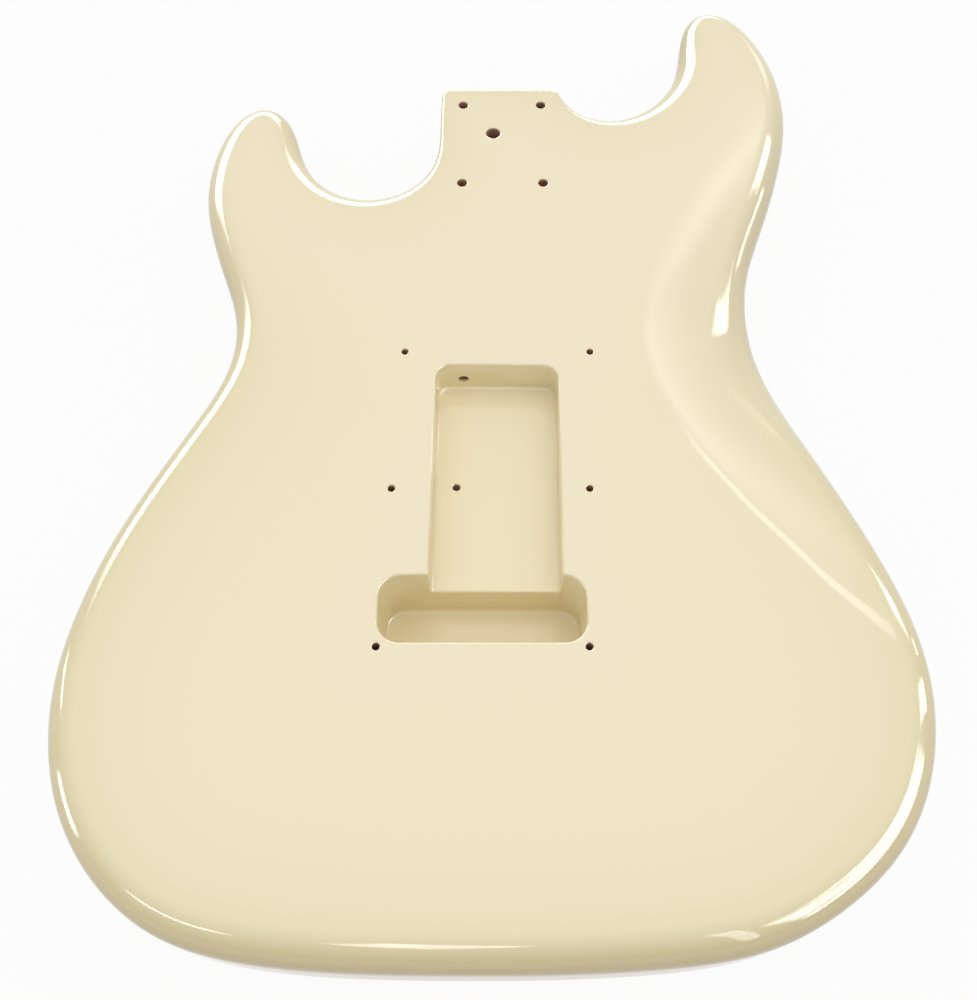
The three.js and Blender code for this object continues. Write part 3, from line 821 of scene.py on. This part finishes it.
def chipped_plug_tree():
    """A short plug at each point, along its axis, with its end flared unevenly like a chipped lip."""
    tree = bpy.data.node_groups.new("chipped_plugs", "GeometryNodeTree")
    socket = tree.interface.new_socket
    socket("Points", in_out="INPUT", socket_type="NodeSocketGeometry")
    group_input(tree, "Sides", "Int", 40)
    group_input(tree, "Reach", "Float", 1.35 * mm)
    group_input(tree, "Chip grain", "Float", 900.0)
    group_input(tree, "Seed", "Int", 7)
    group_input(tree, "Material", "Material", None)
    socket("Geometry", in_out="OUTPUT", socket_type="NodeSocketGeometry")
    given = new_node(tree, "NodeGroupInput")
    result = new_node(tree, "NodeGroupOutput")

    def attribute(name, kind="FLOAT"):
        node = new_node(tree, "GeometryNodeInputNamedAttribute", data_type=kind)
        node.inputs["Name"].default_value = name
        return node.outputs["Attribute"]

    def vectors(operation, *values, out=0):
        node = new_node(tree, "ShaderNodeVectorMath", operation=operation)
        sockets = [item for item in node.inputs if item.enabled]
        for socket_in, value in zip(sockets, values):
            link(tree, value, socket_in)
        return node.outputs[out]

    plug = new_node(tree, "GeometryNodeMeshCylinder")
    plug.inputs["Side Segments"].default_value = 13
    plug.inputs["Radius"].default_value = 1
    plug.inputs["Depth"].default_value = 2
    link(tree, given.outputs["Sides"], plug.inputs["Vertices"])
    turn = new_node(tree, "FunctionNodeAlignRotationToVector", axis="Z")
    link(tree, attribute("axis", "FLOAT_VECTOR"), turn.inputs["Vector"])
    size = new_node(tree, "ShaderNodeCombineXYZ")
    link(tree, attribute("bore"), size.inputs["X"])
    link(tree, attribute("bore"), size.inputs["Y"])
    link(tree, given.outputs["Reach"], size.inputs["Z"])
    placed = new_node(tree, "GeometryNodeInstanceOnPoints")
    link(tree, given.outputs["Points"], placed.inputs["Points"])
    link(tree, plug.outputs["Mesh"], placed.inputs["Instance"])
    link(tree, turn.outputs["Rotation"], placed.inputs["Rotation"])
    link(tree, size.outputs["Vector"], placed.inputs["Scale"])
    real = new_node(tree, "GeometryNodeRealizeInstances")
    link(tree, placed.outputs["Instances"], real.inputs["Geometry"])

    spot = new_node(tree, "GeometryNodeInputPosition").outputs["Position"]
    axis = attribute("axis", "FLOAT_VECTOR")
    from_mouth = vectors("SUBTRACT", spot, attribute("mouth", "FLOAT_VECTOR"))
    height = vectors("DOT_PRODUCT", from_mouth, axis, out=1)
    along_axis = new_node(tree, "ShaderNodeVectorMath", operation="SCALE")
    link(tree, axis, along_axis.inputs[0])
    link(tree, height, along_axis.inputs["Scale"])
    radial = vectors("NORMALIZE", vectors("SUBTRACT", from_mouth, along_axis.outputs[0]))
    grain = new_node(tree, "ShaderNodeTexNoise", noise_dimensions="4D")
    link(tree, given.outputs["Chip grain"], grain.inputs["Scale"])
    link(tree, given.outputs["Seed"], grain.inputs["W"])
    link(tree, spot, grain.inputs["Vector"])
    near_mouth = new_node(tree, "ShaderNodeMapRange", interpolation_type="SMOOTHSTEP")
    near_mouth.inputs["From Min"].default_value = -chip_below
    near_mouth.inputs["From Max"].default_value = chip_above
    link(tree, height, near_mouth.inputs["Value"])
    push = maths(tree, "MULTIPLY", attribute("chip"), near_mouth.outputs["Result"])
    push = maths(tree, "MULTIPLY", push, maths(tree, "MULTIPLY", grain.outputs["Fac"], chip_gain))
    shift = new_node(tree, "ShaderNodeVectorMath", operation="SCALE")
    link(tree, radial, shift.inputs[0])
    link(tree, push, shift.inputs["Scale"])
    moved = new_node(tree, "GeometryNodeSetPosition")
    link(tree, real.outputs["Geometry"], moved.inputs["Geometry"])
    link(tree, shift.outputs[0], moved.inputs["Offset"])
    dressed = new_node(tree, "GeometryNodeSetMaterial")
    link(tree, moved.outputs["Geometry"], dressed.inputs["Geometry"])
    link(tree, given.outputs["Material"], dressed.inputs["Material"])
    link(tree, dressed.outputs["Geometry"], result.inputs["Geometry"])
    return tree


def set_points(name, rows):
    """Bare points that carry each hole's mouth, axis, bore and chip size."""
    made = new_object(name, [row[0] for row in rows], [])
    mesh = made.data
    columns = {"mouth": "FLOAT_VECTOR", "axis": "FLOAT_VECTOR", "bore": "FLOAT", "chip": "FLOAT"}
    for index, (column, kind) in enumerate(columns.items()):
        stored = mesh.attributes.new(column, kind, "POINT")
        values = np.array([row[index] for row in rows], float)
        if kind == "FLOAT":
            stored.data.foreach_set("value", values * mm)
        else:
            stored.data.foreach_set("vector", values.ravel())
    return made


plugs = set_points("plugs", holes)
plug_nodes = plugs.modifiers.new("plugs", "NODES")
plug_nodes.node_group = chipped_plug_tree()
for item in plug_nodes.node_group.interface.items_tree:
    if item.in_out == "INPUT" and item.name == "Material":
        plug_nodes[item.identifier] = drilled_wall
plug_mesh = evaluated_mesh(plugs)
plugs.modifiers.clear()
plugs.data = plug_mesh
neck_cut = rout_cutter("neck_cut", pocket_width, pocket_length, pocket_depth, pocket_corner,
                       pocket_centre, foot=0)
neck_cut.data.materials.append(cut_polyester)
for vert in neck_cut.data.vertices:
    vert.co = (vert.co.x - rim_middle[0], vert.co.y - rim_middle[1], -vert.co.z)
neck_cut.data.flip_normals()
cut_with(coat, [plugs, neck_cut])
coat.data.shade_smooth()
coat.data.set_sharp_from_angle(angle=crease_angle)
rim_tree = KDTree(len(rim))
for index, (x, y) in enumerate(rim - rim_middle):
    rim_tree.insert((x, y, 0), index)
rim_tree.balance()


def painted_edge_shade(spot):
    """How much painted shade deepens the cream: most at the rim, further in at the butt, and a little in the
    routs.
    """
    x, y, z = spot
    inwards = rim_tree.find((x, y, 0))[2]
    at_butt = float(smooth_step(*butt_rows, y))
    fade = rim_fade + butt_fade * at_butt
    deep = (rim_shade_share + butt_shade_share * at_butt) * math.exp(-inwards / fade)
    row_x, row_y = x + rim_middle[0], y + rim_middle[1]
    below_back = float(back_height(row_x, row_y)) - z
    above_front = z - float(arm_depth(row_x, row_y))
    in_rout = inwards > edge_radius and min(below_back, above_front) > 2 * lip_radius
    return max(deep, rout_shade_share) if in_rout else deep


# Each point's painted shade goes into the edge attribute.
edge = coat.data.attributes.new("edge", "FLOAT", "POINT")
for vert in coat.data.vertices:
    edge.data[vert.index].value = painted_edge_shade(vert.co)


def hold_flats(mesh):
    """Flat faces keep their own normal to the very edge, and the rounded strips beside them meet it."""
    corner_count, face_count = len(mesh.loops), len(mesh.polygons)
    corner_vertex = np.empty(corner_count, int)
    mesh.loops.foreach_get("vertex_index", corner_vertex)
    shaded = np.empty(corner_count * 3)
    mesh.corner_normals.foreach_get("vector", shaded)
    shaded = shaded.reshape(-1, 3)
    face_normal = np.empty(face_count * 3)
    mesh.polygons.foreach_get("normal", face_normal)
    face_normal = face_normal.reshape(-1, 3)
    sides = np.empty(face_count, int)
    mesh.polygons.foreach_get("loop_total", sides)
    corner_face = np.repeat(np.arange(face_count), sides)
    level = np.abs(face_normal[:, 2]) > level_share
    same_fan = np.column_stack((corner_vertex, np.round(shaded * normal_grid).astype(int)))
    fan = np.unique(same_fan, axis=0, return_inverse=True)[1].ravel()
    flat_corners = np.flatnonzero(level[corner_face])
    held = np.zeros((fan.max() + 1, 3))
    held[fan[flat_corners]] = face_normal[corner_face[flat_corners]]
    beside_flat = held.any(axis=1)[fan]
    settled = np.where(beside_flat[:, None], held[fan], shaded)
    mesh.normals_split_custom_set(settled.tolist())


hold_flats(coat.data)
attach(coat, "root")
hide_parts(*coat_nodes)

# Stage
# A plain floor, which keeps the body's shadow and is white only to the camera and in reflections, and an
# even dome of light, brighter overhead and from the neck's side.
floor_white = 1.1
floor_white_share = 0.85
floor_reach = 6.0
floor_grey = (0.3, 0.3, 0.3, 1)
dome_low = 0.62
dome_overhead = 0.98
dome_focus = 3
dome_from_neck = 0.26


def studio_floor():
    signs = ((-1, -1), (1, -1), (1, 1), (-1, 1))
    corners = [(right * floor_reach, ahead * floor_reach, 0) for right, ahead in signs]
    floor = new_object("floor", corners, [(0, 1, 2, 3)])
    material, tree, surface = new_material("white_floor")
    surface.inputs["Base Color"].default_value = floor_grey
    surface.inputs["Roughness"].default_value = 0.9
    surface.inputs["Specular IOR Level"].default_value = 0
    white = fill_sockets(new_node(tree, "ShaderNodeEmission"), Color=(1, 1, 1, 1), Strength=floor_white)
    path = new_node(tree, "ShaderNodeLightPath").outputs
    seen = maths(tree, "MAXIMUM", path["Is Camera Ray"], path["Is Glossy Ray"])
    seen = maths(tree, "MAXIMUM", seen, path["Is Transmission Ray"])
    mix = new_node(tree, "ShaderNodeMixShader")
    link(tree, maths(tree, "MULTIPLY", seen, floor_white_share), mix.inputs[0])
    link(tree, surface.outputs[0], mix.inputs[1])
    link(tree, white.outputs[0], mix.inputs[2])
    link(tree, mix.outputs[0], tree.nodes["Material Output"].inputs["Surface"])
    floor.data.materials.append(material)
    return floor


def light_dome():
    dome = bpy.data.worlds.new("dome")
    dome.use_nodes = True
    tree = dome.node_tree
    direction = new_node(tree, "ShaderNodeSeparateXYZ")
    link(tree, new_node(tree, "ShaderNodeTexCoord").outputs["Generated"], direction.inputs[0])
    height = maths(tree, "MAXIMUM", direction.outputs["Z"], 0)
    overhead = maths(tree, "MULTIPLY", maths(tree, "POWER", height, dome_focus), dome_overhead)
    around = maths(tree, "MULTIPLY_ADD", direction.outputs["Y"], dome_from_neck, dome_low)
    link(tree, maths(tree, "ADD", overhead, around), tree.nodes["Background"].inputs["Strength"])
    tree.nodes["Background"].inputs["Color"].default_value = (1, 1, 1, 1)
    return dome


studio_floor()
scene.world = light_dome()

# Lights
# Soft panels that only show as reflections in the gloss: two broad ones at the right front and the left
# back draw the long highlights on the edges, slim ones the broken lines round the butt and treble side,
# faint ones the line and glow on the belly cut, and small ones the patches at the bass waist and horn.
light_distance = 3.0
fold_scale = (2.2, 9, 1)
fold_stops = (0.38, 0.52)
border_roundness = 0.3


def soft_edges(light, softness, folds_from, fold_share):
    """A softbox's face: light that fades over its border, with long faint folds in its cloth."""
    light.use_nodes = True
    tree = light.node_tree
    across = new_node(tree, "ShaderNodeSeparateXYZ")
    over_panel = new_node(tree, "ShaderNodeNewGeometry").outputs["Parametric"]
    link(tree, over_panel, across.inputs[0])
    shares = []
    for axis in "XY":
        from_side = maths(tree, "PINGPONG", across.outputs[axis], 0.5)
        rising = maths(tree, "DIVIDE", from_side, softness / 2)
        shares.append(maths(tree, "SMOOTH_MIN", rising, 1, border_roundness))
    stretch = new_node(tree, "ShaderNodeMapping")
    stretch.inputs["Location"].default_value = (folds_from, 0, 0)
    stretch.inputs["Scale"].default_value = fold_scale
    link(tree, over_panel, stretch.inputs["Vector"])
    cloth = fill_sockets(new_node(tree, "ShaderNodeTexNoise"), Scale=1.0, Detail=1.0)
    link(tree, stretch.outputs["Vector"], cloth.inputs["Vector"])
    folds = colour_ramp(tree, list(zip(fold_stops, ((fold_share,) * 3, (1, 1, 1)))))
    link(tree, cloth.outputs["Fac"], folds.inputs["Fac"])
    lit = maths(tree, "MULTIPLY", maths(tree, "MULTIPLY", *shares), folds.outputs["Color"])
    link(tree, lit, tree.nodes["Emission"].inputs["Strength"])


def panel(name, azimuth, elevation, wide, high, radiance, roll=0.0, softness=0.3, fold_share=0.4):
    """A soft panel seen from the body at that azimuth (0 is +Y, 90 is +X) with those angles of view."""
    turn, lift = math.radians(azimuth), math.radians(elevation)
    place = Vector((math.sin(turn) * math.cos(lift), math.cos(turn) * math.cos(lift), math.sin(lift)))
    light = bpy.data.lights.new(name, "AREA")
    light.shape = "RECTANGLE"
    light.size = 2 * light_distance * math.tan(math.radians(wide / 2))
    light.size_y = 2 * light_distance * math.tan(math.radians(high / 2))
    light.energy = radiance * math.pi * light.size * light.size_y
    soft_edges(light, softness, azimuth, fold_share)
    lamp = bpy.data.objects.new(name, light)
    lamp.location = place * light_distance
    facing = (-place).to_track_quat("-Z", "Y")
    lamp.rotation_euler = (facing @ Quaternion((0, 0, 1), math.radians(roll))).to_euler()
    lamp.visible_diffuse = False
    scene.collection.objects.link(lamp)


panel("right_front", 116, 28, 51, 37, 14.0, softness=0.18, fold_share=0.3)
panel("right_slim", 80, 21, 7, 30, 12.0)
panel("left_back", 338, 19, 80, 29, 11.0, softness=0.25)
panel("left_low", 259, 6, 17, 18, 12.0)
panel("left_slim", 284, 11, 4, 28, 12.0, -20)
panel("front_strip", 154, 30, 5, 40, 6.0)
panel("front_high", 186, 48, 12, 11, 9.0, -35)
panel("left_front", 222, 35, 28, 5, 10.0, 25, fold_share=1.0)
panel("belly_line", 39, 58, 19, 4.2, 3.6, softness=0.4, fold_share=1.0)
panel("belly_glow", 31, 46, 22, 22, 2.4, softness=1.0, fold_share=1.0)
panel("waist_patch", 60, 25, 9, 22, 12.0, -25)
panel("horn_low", 70, 4, 4, 9, 8.0)
panel("horn_glow", 34, 18, 14, 22, 4.0, softness=1.0, fold_share=1.0)

# Camera
# A phone's view from above the butt, at about an arm's length. It was fitted to the standard patterns of
# the neck's four screws and the spring cover's six.
lens = bpy.data.cameras.new("camera")
lens.lens = 40.32
lens.sensor_width = 36
lens.shift_y = -0.05
camera = bpy.data.objects.new("camera", lens)
camera.location = (-1.6 * mm, -260.3 * mm, 440.7 * mm)
camera.rotation_euler = (math.radians(29.5), 0, 0)
scene.collection.objects.link(camera)
scene.camera = camera
scene.view_settings.view_transform = "Standard"
